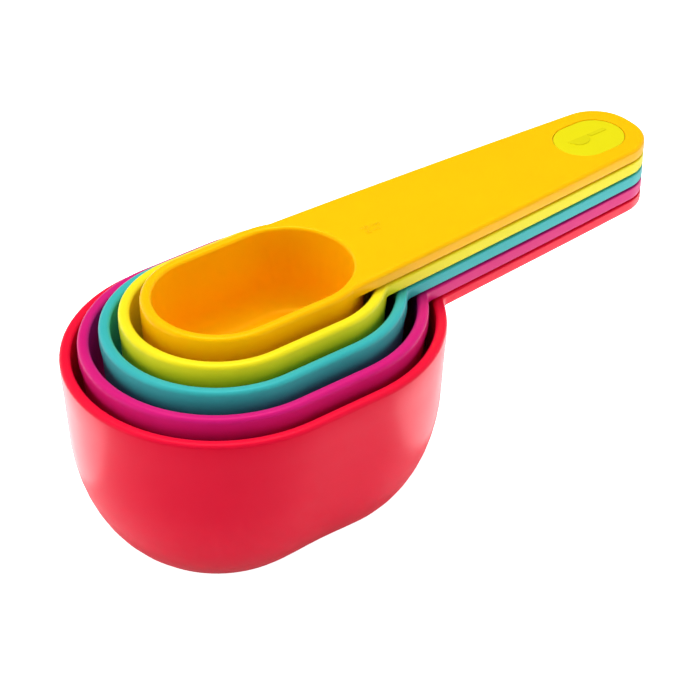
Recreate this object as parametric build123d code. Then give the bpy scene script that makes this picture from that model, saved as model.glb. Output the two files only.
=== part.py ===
from build123d import *
import os

os.makedirs("parts", exist_ok=True)

# A nest of five measuring cups, in millimetres. Each cup is one moulding, a bowl with a long handle, and
# has an oval badge set flush in the end of its handle. The cups differ only in their bowls.
# Frame: the origin is the centre of the largest cup's flat base, +X runs to the handle tips, +Z is up.

# What each cup holds, in cubic millimetres, and half the width of its mouth. Largest first.
CUPS = {
    "one": (236600, 35.6),
    "half": (118300, 31.1),
    "third": (78900, 25.9),
    "quarter": (59100, 21.1),
    "eighth": (29600, 15.9),
}

# Bowl: two round ends joined by straight sides, with a flat floor and wide soft bottom corners
WALL = 2.75             # thickness of the side wall and the floor
END_CENTRE = 9.7        # distance from the middle of the bowl to the centre of each round end
FLOOR_HALF = 10.8       # half the width of the flat floor
TAPER = 0.018           # share of its half width that the wall loses from the rim to the bottom corner
CORNER_RISE = 1.3       # height of the bottom corner over its width
TRIAL_DEPTHS = (60, 80)

# Handle: a thin tray, open below, that lies flat on the handle beneath it. Its edge runs on around the
# bowl as an upright band.
HANDLE_DEPTH = 3.8      # also the step from each cup's rim to the next one's
BAND_PROUD = 0.15       # the band stands this far out from the wall below it
HANDLE_SKIN = 1.7       # thickness of its top
HANDLE_EDGE = 1.9       # thickness of the wall around it
HANDLE_START = (5.7, 17.9)      # distance from the middle of the bowl, and half the width there
HANDLE_MIDDLE = (56.4, 15.4)
HANDLE_END = (119.5, 11.2)
TIP_ROUND = 10.6
NECK_ROUND = 2.6        # hollow corner where a handle's side meets its bowl
EDGE_ROUND = 0.6        # rounding of the edges of the upper face

# Badge
BADGE_CENTRE = 105.2    # distance from the middle of the bowl
BADGE_SIZE = (19.4, 15.0)
BADGE_THICKNESS = 0.9
BADGE_SINK = 0.05       # its top lies this far below the handle's
BADGE_GAP = 0.05        # clearance all round it in its pocket


def bowl(half_width, depth):
    """The solid form of a bowl, its top at z = 0: a half-round end about each centre and a straight middle."""
    corner_start = half_width * (1 - TAPER)
    corner_width = corner_start - FLOOR_HALF
    corner_height = corner_width * CORNER_RISE
    corner_top = corner_height - depth
    wall = Polyline((0, 0), (half_width, 0), (corner_start, corner_top))
    corner = EllipticalCenterArc((FLOOR_HALF, corner_top), corner_width, corner_height, 270, arc_size=90)
    floor = Polyline((FLOOR_HALF, -depth), (0, -depth), (0, 0))
    half_section = make_face(wall + corner + floor)

    end = Pos(END_CENTRE, 0, 0) * revolve(Plane.YZ * half_section, Axis((0, 0, 0), (0, 0, -1)), 180)
    section = half_section + mirror(half_section, Plane.YZ)
    middle = extrude(Plane.YZ * section, END_CENTRE, both=True)
    return middle + end + Rot(0, 0, 180) * end


def bowl_depth(half_width, capacity):
    """A bowl's volume grows evenly with its depth, so two trial depths give the depth that it needs."""
    shallow, deep = TRIAL_DEPTHS
    volume = bowl(half_width, shallow).volume
    volume_per_mm = (bowl(half_width, deep).volume - volume) / (deep - shallow)
    return shallow + (capacity - volume) / volume_per_mm


def bowl_outline(half_width):
    return SlotCenterToCenter(2 * END_CENTRE, 2 * half_width)


def handle_outline():
    """The handle in plan, tapering in two gently bowed sides to a blunt round tip."""
    (x0, y0), (x1, y1), (x2, y2) = HANDLE_START, HANDLE_MIDDLE, HANDLE_END
    near = ThreePointArc((x0, -y0), (x1, -y1), (x2, -y2))
    far = ThreePointArc((x2, y2), (x1, y1), (x0, y0))
    outline = make_face(near + Line((x2, -y2), (x2, y2)) + far + Line((x0, y0), (x0, -y0)))
    return fillet(outline.vertices().sort_by(Axis.X)[-2:], TIP_ROUND)


def badge_form(growth, depth):
    """The badge's oval, grown by the given amount all round, down from the handle's upper face."""
    length, width = BADGE_SIZE
    oval = SlotOverall(length + 2 * growth, width + 2 * growth)
    return Pos(BADGE_CENTRE, 0, 0) * extrude(oval, -depth)


def cup(half_width, depth):
    """One moulding, its rim at z = 0: bowl and handle, less the cavity, the tray and the badge's pocket."""
    outer = half_width + WALL
    handle = handle_outline()
    plan = bowl_outline(outer) + handle
    necks = plan.vertices().filter_by_position(Axis.X, END_CENTRE + NECK_ROUND, HANDLE_MIDDLE[0])
    body = extrude(fillet(necks, NECK_ROUND), -HANDLE_DEPTH) + bowl(outer - BAND_PROUD, depth + WALL)
    body -= bowl(half_width, depth)
    body = fillet(body.edges().group_by(Axis.Z)[-1], EDGE_ROUND)
    tray = offset(handle, -HANDLE_EDGE) - bowl_outline(outer)
    body -= Pos(0, 0, -HANDLE_DEPTH) * extrude(tray, HANDLE_DEPTH - HANDLE_SKIN)
    return body - badge_form(BADGE_GAP, BADGE_SINK + BADGE_THICKNESS)


def badge():
    return Pos(0, 0, -BADGE_SINK) * badge_form(0, BADGE_THICKNESS)


depths = {name: bowl_depth(half_width, capacity) for name, (capacity, half_width) in CUPS.items()}
first_rim = depths["one"] + WALL

for step, (name, (capacity, half_width)) in enumerate(CUPS.items()):
    rim = first_rim + step * HANDLE_DEPTH
    place = Pos(0, 0, rim)
    export_step(place * cup(half_width, depths[name]), f"parts/{name}_cup.step")
    export_step(place * badge(), f"parts/{name}_badge.step")
    print(f"{name}_cup: {capacity / 1000:.1f} ml, {depths[name]:.2f} mm deep, rim at {rim:.2f} mm")
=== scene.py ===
from math import atan2, ceil, cos, hypot, pi, radians, sin, sqrt

import bmesh
import bpy
from mathutils import Matrix, Vector


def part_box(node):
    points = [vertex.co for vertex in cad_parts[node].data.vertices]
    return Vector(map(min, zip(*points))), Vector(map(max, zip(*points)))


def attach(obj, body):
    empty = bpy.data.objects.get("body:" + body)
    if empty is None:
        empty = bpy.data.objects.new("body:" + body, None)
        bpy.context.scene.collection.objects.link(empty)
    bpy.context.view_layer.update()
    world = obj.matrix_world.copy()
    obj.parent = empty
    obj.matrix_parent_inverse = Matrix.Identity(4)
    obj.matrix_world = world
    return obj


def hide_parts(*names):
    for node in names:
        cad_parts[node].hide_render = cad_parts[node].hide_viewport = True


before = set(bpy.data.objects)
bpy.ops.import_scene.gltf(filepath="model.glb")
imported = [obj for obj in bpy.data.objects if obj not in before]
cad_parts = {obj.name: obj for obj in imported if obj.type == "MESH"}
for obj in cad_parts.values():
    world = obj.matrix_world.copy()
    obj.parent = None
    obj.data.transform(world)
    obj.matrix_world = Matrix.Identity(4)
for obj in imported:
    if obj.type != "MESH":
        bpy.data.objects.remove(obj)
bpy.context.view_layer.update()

# Lengths are in millimetres unless a name ends in _M, and heights are from a cup's own rim.
MM = 0.001


def box_mm(node):
    low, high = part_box(node)
    return low / MM, high / MM


# What the frame gives
ONE_LOW, ONE_HIGH = box_mm("one_cup")
BADGE_LOW, BADGE_HIGH = box_mm("one_badge")
END_CENTRE = -ONE_LOW.x - ONE_HIGH.y        # from the middle of a bowl to the centre of each round end
HANDLE_DEPTH = box_mm("half_cup")[1].z - ONE_HIGH.z
TIP = ONE_HIGH.x

# What the design gives besides: the bowl
WALL = 2.75
TAPER = 0.018
CORNER_RISE = 1.42
FLOOR_BASE = 9.3        # half the width of a flat floor is this and FLOOR_SHARE of its bowl's half width
FLOOR_SHARE = 0.081
GATHER = 2.0            # low down, the largest bowl's ends are this much narrower and further apart
PINCH = 0.35            # its long sides draw in by this besides, halfway between them
SETTLED = 0.6           # both are complete at this share of the bowl's depth

# The handle, as (distance from the middle of the bowl, half width) at three places
HANDLE_START = (5.7, 17.9)
HANDLE_MIDDLE = (56.4, 15.4)
HANDLE_END = (TIP, 11.2)
HANDLE_SKIN = 1.7
HANDLE_EDGE = 1.9
TIP_ROUND = 10.6
NECK_ROUND = 2.6

# How far the edges are rounded
SOFT_MAX = 1.2
SOFT_MOUTH = 0.9
SOFT_RIM = 1.1
SOFT_HANDLE = 0.9       # the uppermost handle's edge
SOFT_COVERED = 0.4      # the edge of a handle with another on it
SOFT_BELOW = 0.3
SEAM = 0.50             # a handle's edge ends this far above the handle below it
SOFT_BELOW_LOWEST = 0.9
SOFT_TRAY = 0.35
SOFT_POCKET = 0.16
SOFT_NECK = 0.05        # the lower edges of a handle beside its neck
SOFT_RUN = 5.0          # the rounding changes from a bowl's to its handle's over this length
BEVEL_SEGMENTS = 4
SMOOTH_BELOW = radians(35)      # an edge that turns by more than this stays sharp, unless it is rounded

# Raised lettering
MARK_HEIGHT = 0.05
UPPER = -MARK_HEIGHT    # height of a cup's upper face
TEXT_SIZE = 1.9
TEXT_CURVE_STEPS = 3
TEXT_JOIN = 0.0005      # points of the letters' outlines that are nearer than this become one
TEXT_OFF = 7.1          # from the edge of the bowl's mouth to the start of the lettering
MILLILITRES = {"one": 237, "half": 118, "third": 79, "quarter": 59, "eighth": 30}
SHARES = {"one": "1", "half": "1/2", "third": "1/3", "quarter": "1/4", "eighth": "1/8"}

# Badge
BADGE_SINK = 0.20       # how far its edge lies below the handle's upper face
BADGE_GAP = 0.12
BADGE_DOME = 0.05
BADGE_CUT = 12.0        # the mesh around the badge starts this far before it

# The sign on a badge, from the badge's centre: the side view of a cup with its grip towards the tip
SIGN_HEIGHT = 0.12
SIGN_FOOT = -0.40
SIGN_TOP = 1.4
SIGN_CUP_X = -2.6
SIGN_CUP_RADIUS = 3.2
SIGN_GRIP_START = 0.7
SIGN_GRIP_END = 5.6
SIGN_GRIP_HALF = 0.6    # half its thickness

# Mesh density
ARC_STEP = radians(4)
STRAIGHT_STEPS = 6
BACK_STEPS = 45         # odd, so that no column lies on the middle line
NECK_STEPS = 6
SIDE_STEP = 5.0
TIP_STEP = 3.0
TIP_ARC_STEPS = 11
ACROSS = 2 * TIP_ARC_STEPS + 1
WALL_STEP = 4.0
CORNER_STEPS = 14
FLOOR_RINGS = (0.75, 0.5)               # shares of the flat floor's half width
BADGE_RINGS = (0.9, 0.75, 0.5, 0.25)    # shares of the badge's size
BADGE_STEPS = 59                        # odd, with no point on the middle line
AROUND_POCKET = 0.55                    # share of the way to the pocket at which the face has a loop


# ---------------------------------------------------------------- plan geometry

def lerp(a, b, t):
    return a + (b - a) * t


def ease(t):
    t = min(1.0, max(0.0, t))
    return t * t * (3 - 2 * t)


def between(start, end, step):
    """Evenly spaced values after start, up to end, at most step apart."""
    n = ceil(abs(end - start) / step)
    return [lerp(start, end, (k + 1) / n) for k in range(n)]


def circle_through(a, b, c):
    """Centre and radius of the circle through three points."""
    (ax, ay), (bx, by), (cx, cy) = a, b, c
    d = 2 * (ax * (by - cy) + bx * (cy - ay) + cx * (ay - by))
    a2, b2, c2 = ax * ax + ay * ay, bx * bx + by * by, cx * cx + cy * cy
    x = (a2 * (by - cy) + b2 * (cy - ay) + c2 * (ay - by)) / d
    y = (a2 * (cx - bx) + b2 * (ax - cx) + c2 * (bx - ax)) / d
    return (x, y), hypot(ax - x, ay - y)


def meeting(centre, radius, other_centre, other_radius):
    """Where two circles meet, on the side with y > 0 and the larger x."""
    dx, dy = other_centre[0] - centre[0], other_centre[1] - centre[1]
    apart = hypot(dx, dy)
    along = (apart ** 2 + radius ** 2 - other_radius ** 2) / (2 * apart)
    off = sqrt(radius ** 2 - along ** 2)
    points = [(centre[0] + (along * dx - s * off * dy) / apart,
               centre[1] + (along * dy + s * off * dx) / apart) for s in (-1, 1)]
    return max(points)


def heading(a, b):
    return atan2(b[1] - a[1], b[0] - a[0])


def arc(centre, radius, start, end, steps):
    angles = [lerp(start, end, k / steps) for k in range(steps + 1)]
    return [(centre[0] + radius * cos(t), centre[1] + radius * sin(t)) for t in angles]


def mirrored(points):
    return [(x, -y) for x, y in points]


END_POINT = (END_CENTRE, 0.0)
SIDE_CENTRE, SIDE_RADIUS = circle_through(HANDLE_START, HANDLE_MIDDLE, HANDLE_END)
CUT_X = BADGE_LOW.x - BADGE_CUT


def side_y(x, inset):
    return SIDE_CENTRE[1] + sqrt((SIDE_RADIUS - inset) ** 2 - (x - SIDE_CENTRE[0]) ** 2)


TIP_POINT = (TIP - TIP_ROUND, side_y(TIP - TIP_ROUND, TIP_ROUND))


def neck_point(outer):
    return meeting(END_POINT, outer + NECK_ROUND, SIDE_CENTRE, SIDE_RADIUS + NECK_ROUND)


def tray_point(outer):
    return meeting(END_POINT, outer, SIDE_CENTRE, SIDE_RADIUS - HANDLE_EDGE)


def handle_side(outer, inset):
    """The edge of a handle's half with y > 0, set in by inset, from its bowl to the tip, and how many of
    its points come before the mesh around the badge."""
    neck = neck_point(outer)
    hollow = arc(neck, NECK_ROUND, heading(neck, END_POINT), heading(neck, SIDE_CENTRE), NECK_STEPS)
    points = hollow + [(x, side_y(x, 0)) for x in between(hollow[-1][0], CUT_X, SIDE_STEP)]
    before_badge = len(points)
    if inset:
        first, start = points[0][0], tray_point(outer)[0]
        xs = [lerp(start, CUT_X, (x - first) / (CUT_X - first)) for x, _ in points]
        points = [(x, side_y(x, inset)) for x in xs]
    tip = arc(TIP_POINT, TIP_ROUND - inset, heading(SIDE_CENTRE, TIP_POINT), 0, TIP_ARC_STEPS)
    points += [(x, side_y(x, inset)) for x in between(CUT_X, tip[0][0], TIP_STEP)[:-1]]
    return points + tip, before_badge


def columns(outer):
    """The columns of a bowl's mesh, counter-clockwise from the neck with y > 0, as (x of its centre,
    direction, the bowl's size), and how many of them come before those that lie under the handle."""
    size = outer / ONE_HIGH.y
    neck, tray = heading(END_POINT, neck_point(outer)), heading(END_POINT, tray_point(outer))
    steps = ceil((pi / 2 - neck) / ARC_STEP)

    def turn(x, start, end, steps):
        return [(x, dx, dy, size) for dx, dy in arc((0, 0), 1, start, end, steps)]

    straight = [END_CENTRE * (1 - 2 * k / STRAIGHT_STEPS) for k in range(1, STRAIGHT_STEPS)]
    found = turn(END_CENTRE, neck, pi / 2, steps)
    found += [(x, 0.0, 1.0, size) for x in straight]
    found += turn(-END_CENTRE, pi / 2, 3 * pi / 2, BACK_STEPS)
    found += [(-x, 0.0, -1.0, size) for x in straight]
    found += turn(END_CENTRE, -pi / 2, -neck, steps)
    return found + turn(END_CENTRE, -tray, tray, ACROSS), len(found)


def ring(found, half_width, share=0.0):
    """A ring's points in plan. share is how far its ends have gathered and its sides are pinched."""
    size = share * found[0][3]
    points = []
    for x, dx, dy, _ in found:
        pinch = PINCH * size * (1 + cos(pi * x / END_CENTRE)) / 2 if dx == 0.0 else 0.0
        width = half_width - GATHER * size
        points.append((x * (1 + GATHER * size / END_CENTRE) + width * dx, (width - pinch) * dy))
    return points


def bowl_rings(half_width, depth, top):
    """Half width, height and share of the rings of a bowl's surface, from below -top to its floor."""
    floor = FLOOR_BASE + FLOOR_SHARE * half_width
    start = half_width * (1 - TAPER)
    width = start - floor
    corner_top = width * CORNER_RISE - depth
    rings = [(lerp(half_width, start, z / corner_top), z) for z in between(-top, corner_top, WALL_STEP)]
    for k in range(1, CORNER_STEPS + 1):
        t = pi / 2 * k / CORNER_STEPS
        rings.append((floor + width * cos(t), corner_top - width * CORNER_RISE * sin(t)))
    rings += [(floor * inner, -depth) for inner in FLOOR_RINGS]
    return [(w, z, ease(-z / depth / SETTLED)) for w, z in rings]


def oval(growth, toward):
    """The badge's outline in plan, grown all round, with a point in the direction of each of toward."""
    centre = (BADGE_LOW.x + BADGE_HIGH.x) / 2
    radius = BADGE_HIGH.y + growth
    straight = (BADGE_HIGH.x - BADGE_LOW.x) / 2 - BADGE_HIGH.y
    points = []
    for x, y in toward:
        reach = hypot(x - centre, y)
        dx, dy = (x - centre) / reach, y / reach
        t = radius / abs(dy)
        if abs(t * dx) > straight:
            t = abs(dx) * straight + sqrt(radius ** 2 - (dy * straight) ** 2)
        points.append((centre + t * dx, t * dy))
    return points


# ---------------------------------------------------------------- meshes

class Form:
    """A mesh under construction, in millimetres, with heights from a cup's rim."""

    def __init__(self):
        self.bm = bmesh.new()
        self.soft = self.bm.edges.layers.float.new("bevel_weight_edge")

    def row(self, points, z):
        return [self.bm.verts.new((x, y, z)) for x, y in points]

    def strip(self, a, b, closed=False):
        """Faces between two rows of the same length, which may share their end vertices."""
        n = len(a)
        for i in range(n if closed else n - 1):
            j = (i + 1) % n
            self.bm.faces.new(dict.fromkeys((a[i], a[j], b[j], b[i])))

    def close(self, loop):
        """Closes a loop that is the same on both sides of the middle line, with faces across it."""
        sides = [sorted((v for v in loop if v.co.y * s > 0), key=lambda v: v.co.x) for s in (1, -1)]
        self.strip(*sides)

    def across(self, first, far, near, z):
        """Rows of vertices across a handle after a first one that bows out around its bowl. The bow
        fades out towards the last row."""
        n = len(first) - 1
        start, end = first[0].co.x, far[-1].co.x
        rows = [first]
        for left, right in zip(far, near):
            bow = (end - left.co.x) / (end - start)
            inner = []
            for k in range(1, n):
                share = lerp(k / n, (1 - first[k].co.y / first[0].co.y) / 2, bow)
                x = left.co.x + (first[k].co.x - start) * bow
                inner.append((x, lerp(left.co.y, right.co.y, share)))
            rows.append([left] + self.row(inner, z) + [right])
            self.strip(rows[-2], rows[-1])
        return rows

    def soften(self, loop, radius, far_radius=None, neck=0.0, closed=True):
        """Marks the edges along a row to be rounded, by radius up to the neck, far_radius beyond it."""
        n = len(loop)
        for i in range(n if closed else n - 1):
            a, b = loop[i], loop[(i + 1) % n]
            size = radius
            if far_radius is not None:
                size = lerp(radius, far_radius, ease(((a.co.x + b.co.x) / 2 - neck) / SOFT_RUN))
            self.bm.edges.get((a, b))[self.soft] = size / SOFT_MAX

    def piece(self, name, rim, material):
        bmesh.ops.recalc_face_normals(self.bm, faces=self.bm.faces)
        for edge in self.bm.edges:
            edge.smooth = edge[self.soft] > 0 or edge.calc_face_angle(0) < SMOOTH_BELOW
        self.bm.transform(Matrix.Scale(MM, 4) @ Matrix.Translation((0, 0, rim)))
        made = mesh_piece(name, self.bm, material)
        bevel = made.modifiers.new("rounded_edges", "BEVEL")
        bevel.limit_method = "WEIGHT"
        bevel.width = SOFT_MAX * MM
        bevel.segments = BEVEL_SEGMENTS
        bevel.use_clamp_overlap = False
        normals = made.modifiers.new("even_normals", "WEIGHTED_NORMAL")
        normals.keep_sharp = True
        return made


def mesh_piece(name, bm, material):
    mesh = bpy.data.meshes.new(name)
    bm.to_mesh(mesh)
    bm.free()
    for face in mesh.polygons:
        face.use_smooth = True
    mesh.materials.append(material)
    made = bpy.data.objects.new(name, mesh)
    bpy.context.scene.collection.objects.link(made)
    return made


def badge_pocket(form, around):
    """The upper face from a loop around the badge to its pocket, and the pocket. Returns its edge."""
    plan = [(v.co.x, v.co.y) for v in around]
    pocket_plan = oval(BADGE_GAP, plan)
    loop_plan = [(lerp(a[0], b[0], AROUND_POCKET), lerp(a[1], b[1], AROUND_POCKET))
                 for a, b in zip(plan, pocket_plan)]
    loop = form.row(loop_plan, UPPER)
    pocket = form.row(pocket_plan, UPPER)
    pocket_floor = form.row(pocket_plan, BADGE_LOW.z - ONE_HIGH.z)
    for a, b in ((around, loop), (loop, pocket), (pocket, pocket_floor)):
        form.strip(a, b, closed=True)
    form.close(pocket_floor)
    return pocket


def tray(form, lip, inset, under_handle, bowl_edge):
    """The walls and the roof of the space below a handle, from its lip and around its bowl."""
    roof_bowl = form.row(under_handle, -HANDLE_SKIN)
    roof_far, roof_near = form.row(inset, -HANDLE_SKIN), form.row(mirrored(inset), -HANDLE_SKIN)
    form.strip(lip, [roof_bowl[0]] + roof_near + roof_far[::-1] + [roof_bowl[-1]])
    form.strip(bowl_edge, roof_bowl)
    sides = len(inset) - TIP_ARC_STEPS
    roof = form.across(roof_bowl[::-1], roof_far[:sides], roof_near[:sides], -HANDLE_SKIN)
    form.strip(roof[-1], roof_far[sides - 1:] + roof_near[:sides - 2:-1])


def bowl_surface(form, cols, edge, rings):
    """One side of a bowl's wall, down from its edge, and the floor."""
    above = edge
    for width, z, share in rings:
        below = form.row(ring(cols, width, share), z)
        form.strip(above, below, closed=True)
        above = below
    form.close(above)


def cup_body(name, material):
    """One cup: a bowl, its rim, and a handle that is a shallow tray open below."""
    low, high = box_mm(f"{name}_cup")
    outer, depth = high.y, high.z - low.z - WALL
    half = outer - WALL
    cols, n = columns(outer)
    neck = neck_point(outer)[0] - NECK_ROUND
    form = Form()

    # Upper face: the rim, the handle and the badge's pocket
    mouth = form.row(ring(cols, half), UPPER)
    rim = form.row(ring(cols, outer), UPPER)
    form.strip(mouth, rim, closed=True)
    edge, before_badge = handle_side(outer, 0)
    far, near = form.row(edge[1:], UPPER), form.row(mirrored(edge)[1:], UPPER)
    cut = before_badge - 1
    rows = form.across([rim[0]] + rim[:n - 1:-1] + [rim[n - 1]], far[:cut], near[:cut], UPPER)
    corners = [form.bm.edges.get(pair) for pair in ((rim[0], rim[-1]), (rim[n - 1], rim[n]))]
    bmesh.ops.dissolve_edges(form.bm, edges=corners)
    pocket = badge_pocket(form, rows[-1] + near[cut:] + far[:cut - 1:-1])

    # The upright edge around the bowl and the handle
    band = form.row(ring(cols, outer), -HANDLE_DEPTH)
    foot = SEAM - HANDLE_DEPTH
    far_low, near_low = form.row(edge[1:], foot), form.row(mirrored(edge)[1:], foot)
    outline = rim[:n] + near + far[::-1]
    form.strip(outline, band[:n] + near_low + far_low[::-1], closed=True)

    # Below the handle: its edge and the tray
    inset = handle_side(outer, HANDLE_EDGE)[0][1:]
    handle_low = [band[n - 1]] + near_low + far_low[::-1] + [band[0]]
    lip = [band[n]] + form.row(mirrored(inset), foot) + form.row(inset, foot)[::-1] + [band[-1]]
    form.strip(handle_low, lip)
    tray(form, lip, inset, ring(cols, outer)[n:], band[n:])

    # The bowl, inside and out
    bowl_surface(form, cols, mouth, bowl_rings(half, depth, 0))
    bowl_surface(form, cols, band, bowl_rings(outer, depth + WALL, HANDLE_DEPTH))

    form.soften(mouth, SOFT_MOUTH)
    form.soften(outline, SOFT_RIM, SOFT_HANDLE if name == "eighth" else SOFT_COVERED, neck)
    below = SOFT_BELOW_LOWEST if name == "one" else SOFT_BELOW
    form.soften(handle_low[2:-2], SOFT_NECK, below, neck, closed=False)
    form.soften(lip, SOFT_NECK, SOFT_TRAY, neck, closed=False)
    form.soften(pocket, SOFT_POCKET)
    return form.piece(f"{name}_cup_body", high.z, material)


def badge_body(name, material):
    """A badge: an oval plate with a slightly domed face."""
    low, high = box_mm(f"{name}_badge")
    rim = box_mm(f"{name}_cup")[1].z
    centre = (low.x + high.x) / 2
    plan = oval(0, arc((centre, 0), 1, radians(3), radians(357), BADGE_STEPS))
    form = Form()
    top = form.row(plan, -BADGE_SINK)
    bottom = form.row(plan, low.z - rim)
    form.strip(top, bottom, closed=True)
    form.close(bottom)
    above = top
    for share in BADGE_RINGS:
        inner = [(centre + (x - centre) * share, y * share) for x, y in plan]
        ring_up = form.row(inner, BADGE_DOME * (1 - share ** 2) - BADGE_SINK)
        form.strip(above, ring_up, closed=True)
        above = ring_up
    form.close(above)
    form.soften(top, SOFT_POCKET)
    return form.piece(f"{name}_badge_plate", rim, material)


def emblem(name, material):
    """A raised sign on a badge: a cup from the side, with its handle towards the tip."""
    low, high = box_mm(f"{name}_badge")
    rim = box_mm(f"{name}_cup")[1].z
    centre = (low.x + high.x) / 2
    cup_plan = arc((centre + SIGN_CUP_X, SIGN_TOP), SIGN_CUP_RADIUS, pi, 2 * pi, 20)
    grip_y = SIGN_TOP - SIGN_GRIP_HALF
    grip_plan = arc((centre + SIGN_GRIP_END, grip_y), SIGN_GRIP_HALF, -pi / 2, pi / 2, 8)
    grip_plan += [(centre + SIGN_GRIP_START, grip_y + side * SIGN_GRIP_HALF) for side in (1, -1)]
    form = Form()
    for plan in (cup_plan, grip_plan):
        top = form.row(plan, BADGE_DOME - BADGE_SINK + SIGN_HEIGHT)
        bottom = form.row(plan, SIGN_FOOT)
        form.strip(top, bottom, closed=True)
        form.bm.faces.new(top)
        form.bm.faces.new(bottom)
    return form.piece(f"{name}_badge_sign", rim, material)


def lettering(name, material):
    """What the cup holds, in raised letters on its handle."""
    data = bpy.data.curves.new(f"{name}_capacity", "FONT")
    data.body = f"{SHARES[name]} cup\n{MILLILITRES[name]} ml"
    data.size = TEXT_SIZE
    data.resolution_u = TEXT_CURVE_STEPS
    data.extrude = MARK_HEIGHT
    text = bpy.data.objects.new(f"{name}_capacity", data)
    bm = bmesh.new()
    bm.from_mesh(bpy.data.meshes.new_from_object(text))
    bpy.data.objects.remove(text)
    bmesh.ops.remove_doubles(bm, verts=bm.verts, dist=TEXT_JOIN)
    high = box_mm(f"{name}_cup")[1]
    start = END_CENTRE + high.y - WALL + TEXT_OFF
    place = Matrix.Translation((start, TEXT_SIZE / 3, high.z + UPPER))
    bm.transform(Matrix.Scale(MM, 4) @ place)
    return mesh_piece(f"{name}_capacity_letters", bm, material)


# ---------------------------------------------------------------- materials

class Nodes:
    """Adds nodes to a node tree."""

    def __init__(self, tree):
        self.tree = tree

    def add(self, kind, values, **settings):
        made = self.tree.nodes.new(kind)
        for key, value in settings.items():
            setattr(made, key, value)
        for socket, value in values.items():
            if isinstance(value, bpy.types.NodeSocket):
                self.tree.links.new(value, made.inputs[socket])
            else:
                made.inputs[socket].default_value = value
        return made.outputs

    def noise(self, place, scale, detail=2.0):
        return self.add("ShaderNodeTexNoise", {"Vector": place, "Scale": scale, "Detail": detail})["Fac"]

    def spread(self, value, low, high, to_low, to_high):
        return self.add("ShaderNodeMapRange", {"Value": value, "From Min": low, "From Max": high,
                                               "To Min": to_low, "To Max": to_high})["Result"]


# Roughness of a surface at its smoothest and at its roughest
SATIN = (0.285, 0.335)
MATT = (0.40, 0.46)
CHALKY = (0.7, 0.8)

# The plastic's patterns, with their scales per metre
CLOUD_SCALE = 38.0                      # the drift of the colour
PATCH_SCALE = 90.0                      # the change from smooth to rough
SCUFF_SCALE = (90.0, 2600.0, 2600.0)    # long in X, along the handles
GRAIN_SCALE = 2400.0
SCUFF_ROUGHNESS = 0.04                  # added where it is scuffed
EDGE_ROUGHNESS = 0.05                   # added along its edges
SCUFF_DEPTH = 0.3                       # of the height of the grain
GRAIN_STRENGTH = 0.04
GRAIN_HEIGHT_M = 0.0001
PLASTIC_IOR = 1.48


def plastic(name, colour, deep, finish=SATIN, cloudy=0.12, reach=1.2):
    """Moulded plastic. Its colour drifts slightly towards deep, it is smoother in some places than in
    others, it has fine scuffs along the object, and its edges are dulled by use. cloudy is the share of
    light that enters it, to spread about reach millimetres."""
    made = bpy.data.materials.new(name)
    made.use_nodes = True
    shader = made.node_tree.nodes["Principled BSDF"]
    nodes = Nodes(made.node_tree)
    place = nodes.add("ShaderNodeTexCoord", {})["Object"]

    cloud = nodes.noise(place, CLOUD_SCALE, 4.0)
    ramp = nodes.add("ShaderNodeValToRGB", {"Fac": nodes.spread(cloud, 0.3, 0.7, 0.0, 1.0)})["Color"]
    stops = ramp.node.color_ramp.elements
    stops[0].color, stops[1].color = (*deep, 1), (*colour, 1)

    along = nodes.add("ShaderNodeMapping", {"Vector": place, "Scale": SCUFF_SCALE})["Vector"]
    scuff = nodes.spread(nodes.noise(along, 1.0, 1.0), 0.70, 0.82, 0.0, 1.0)
    patch = nodes.spread(nodes.noise(place, PATCH_SCALE, 1.0), 0.2, 0.8, *finish)
    pointed = nodes.add("ShaderNodeNewGeometry", {})["Pointiness"]
    edge = nodes.spread(pointed, 0.52, 0.6, 0.0, EDGE_ROUGHNESS)
    worn = nodes.add("ShaderNodeMath", {0: patch, 1: edge}, operation="ADD")["Value"]
    scuffed = nodes.add("ShaderNodeMath", {0: scuff, 1: SCUFF_ROUGHNESS, 2: worn},
                        operation="MULTIPLY_ADD")["Value"]

    height = nodes.add("ShaderNodeMath", {0: scuff, 1: -SCUFF_DEPTH, 2: nodes.noise(place, GRAIN_SCALE)},
                       operation="MULTIPLY_ADD")["Value"]
    bump = nodes.add("ShaderNodeBump", {"Height": height, "Strength": GRAIN_STRENGTH,
                                        "Distance": GRAIN_HEIGHT_M})["Normal"]

    for socket, output in (("Base Color", ramp), ("Roughness", scuffed), ("Normal", bump)):
        made.node_tree.links.new(output, shader.inputs[socket])
    shader.inputs["IOR"].default_value = PLASTIC_IOR
    shader.inputs["Specular Tint"].default_value = (*colour, 1)
    shader.inputs["Subsurface Weight"].default_value = cloudy
    shader.inputs["Subsurface Radius"].default_value = tuple(0.05 + c * c for c in colour)
    shader.inputs["Subsurface Scale"].default_value = reach * MM
    return made


# Each cup's colour and what it drifts towards, then the same for its badge
COLOURS = {
    "one": ((0.88, 0.008, 0.045), (0.84, 0.007, 0.039), (0.95, 0.060, 0.070), (0.90, 0.045, 0.055)),
    "half": ((0.69, 0.014, 0.200), (0.65, 0.010, 0.180), (0.90, 0.040, 0.320), (0.84, 0.030, 0.280)),
    "third": ((0.052, 0.465, 0.475), (0.040, 0.430, 0.440), (0.120, 0.640, 0.540), (0.090, 0.590, 0.500)),
    "quarter": ((0.900, 0.800, 0.020), (0.860, 0.770, 0.016), (0.520, 0.700, 0.030), (0.460, 0.640, 0.025)),
    "eighth": ((1.000, 0.535, 0.001), (0.995, 0.515, 0.001), (0.760, 0.690, 0.005), (0.720, 0.650, 0.004)),
}


def place_piece(piece, cup, node, stands_in=True):
    """Makes the piece ride on a cup's body, in a node's place or on it."""
    if stands_in:
        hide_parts(node)
    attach(piece, f"{cup}_cup")


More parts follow.
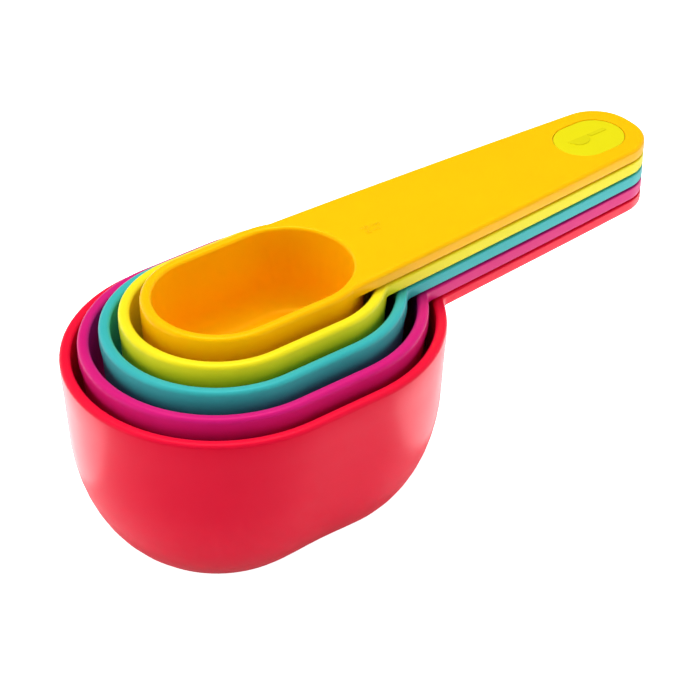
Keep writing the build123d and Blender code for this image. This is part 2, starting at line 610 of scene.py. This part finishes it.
for name, (colour, deep, badge_colour, badge_deep) in COLOURS.items():
    clearer = {"cloudy": 0.25, "reach": 3.0} if name == "eighth" else {}
    cup_plastic = plastic(f"{name}_cup", colour, deep, **clearer)
    badge_plastic = plastic(f"{name}_badge", badge_colour, badge_deep, MATT)
    place_piece(cup_body(name, cup_plastic), name, f"{name}_cup")
    place_piece(lettering(name, cup_plastic), name, f"{name}_cup", stands_in=False)
    place_piece(badge_body(name, badge_plastic), name, f"{name}_badge")
    sign_plastic = plastic(f"{name}_sign", badge_deep, [0.8 * c for c in badge_deep], MATT)
    place_piece(emblem(name, sign_plastic), name, f"{name}_badge", stands_in=False)


# ---------------------------------------------------------------- studio

# The room is bright at both ends of this line and dim between
SIDEWAYS = (0.80, -0.60, 0.0)
ROOM_DIM = 0.06
ROOM_BRIGHT = 0.74

# A large pale table, just below the object
TABLE_HALF_M = 3.0
TABLE_TOP_M = -0.0002
TABLE_SHADE = 0.92
TABLE_GLOW = 1.0
CARD_TOP_M = -0.0001

CAMERA_AT_M = (-0.26869, -0.39055, 0.39652)
CAMERA_LOOKS = (0.48838, 0.64183, -0.59122)
CAMERA_LENS = 126.03
CAMERA_SENSOR = 36


def floor_piece():
    """A pale light table. Its glow shows it evenly white, but doesn't light the object."""
    material = plastic("studio_floor", [TABLE_SHADE] * 3, [0.97 * TABLE_SHADE] * 3, CHALKY)
    shader = material.node_tree.nodes["Principled BSDF"]
    shader.inputs["Emission Strength"].default_value = TABLE_GLOW
    shader.inputs["Emission Color"].default_value = (1, 1, 1, 1)
    shader.inputs["Specular IOR Level"].default_value = 0.0
    bm = bmesh.new()
    level = Matrix.Translation((0, 0, TABLE_TOP_M))
    bmesh.ops.create_grid(bm, x_segments=8, y_segments=8, size=TABLE_HALF_M, matrix=level)
    floor = mesh_piece("studio_floor", bm, material)
    lit = bpy.data.collections.new("lit_by_the_table")
    lit.objects.link(floor)
    floor.light_linking.receiver_collection = lit


def soft_box(name, place, aim, size, power, shape="RECTANGLE"):
    """A flat lamp, with its place, aim and size in metres and its power in watts."""
    data = bpy.data.lights.new(name, "AREA")
    data.shape = shape
    data.size, data.size_y = size
    data.energy = power
    lamp = bpy.data.objects.new(name, data)
    lamp.location = place
    lamp.rotation_euler = (Vector(aim) - Vector(place)).to_track_quat("-Z", "Y").to_euler()
    bpy.context.scene.collection.objects.link(lamp)


def light_card(name, x, y, across, power):
    """A round glowing card that lies on the table, which the upper part of the largest bowl reflects.
    Its place and the distance across it are in metres."""
    soft_box(name, (x, y, CARD_TOP_M), (x, y, 1.0), (across, across), power, "ELLIPSE")


floor_piece()
soft_box("left_soft_box", (-0.95, 0.25, 0.35), (0, 0, 0.03), (0.4, 0.7), 2.8)
soft_box("right_soft_box", (0.6, -0.9, 0.33), (0.03, 0, 0.03), (0.6, 0.6), 1.7)
soft_box("top_soft_box", (0.1, 0.2, 1.1), (0.02, 0, 0.03), (0.7, 0.7), 11.2)
light_card("left_light_card", -0.080, 0.098, 0.14, 0.085)
light_card("right_light_card", 0.130, -0.050, 0.16, 0.092)

scene = bpy.context.scene
scene.view_settings.view_transform = "Standard"
world = bpy.data.worlds.new("studio")
scene.world = world
world.use_nodes = True
sky = Nodes(world.node_tree)
toward = sky.add("ShaderNodeTexCoord", {})["Generated"]
facing = sky.add("ShaderNodeVectorMath", {0: toward, 1: SIDEWAYS}, operation="DOT_PRODUCT")["Value"]
aside = sky.add("ShaderNodeMath", {0: facing}, operation="ABSOLUTE")["Value"]
background = world.node_tree.nodes["Background"].inputs
background["Color"].default_value = (1, 1, 1, 1)
world.node_tree.links.new(sky.spread(aside, 0.2, 0.9, ROOM_DIM, ROOM_BRIGHT), background["Strength"])

camera_data = bpy.data.cameras.new("camera")
camera_data.sensor_width = CAMERA_SENSOR
camera_data.lens = CAMERA_LENS
camera = bpy.data.objects.new("camera", camera_data)
camera.location = CAMERA_AT_M
camera.rotation_euler = Vector(CAMERA_LOOKS).to_track_quat("-Z", "Y").to_euler()
scene.collection.objects.link(camera)
scene.camera = camera
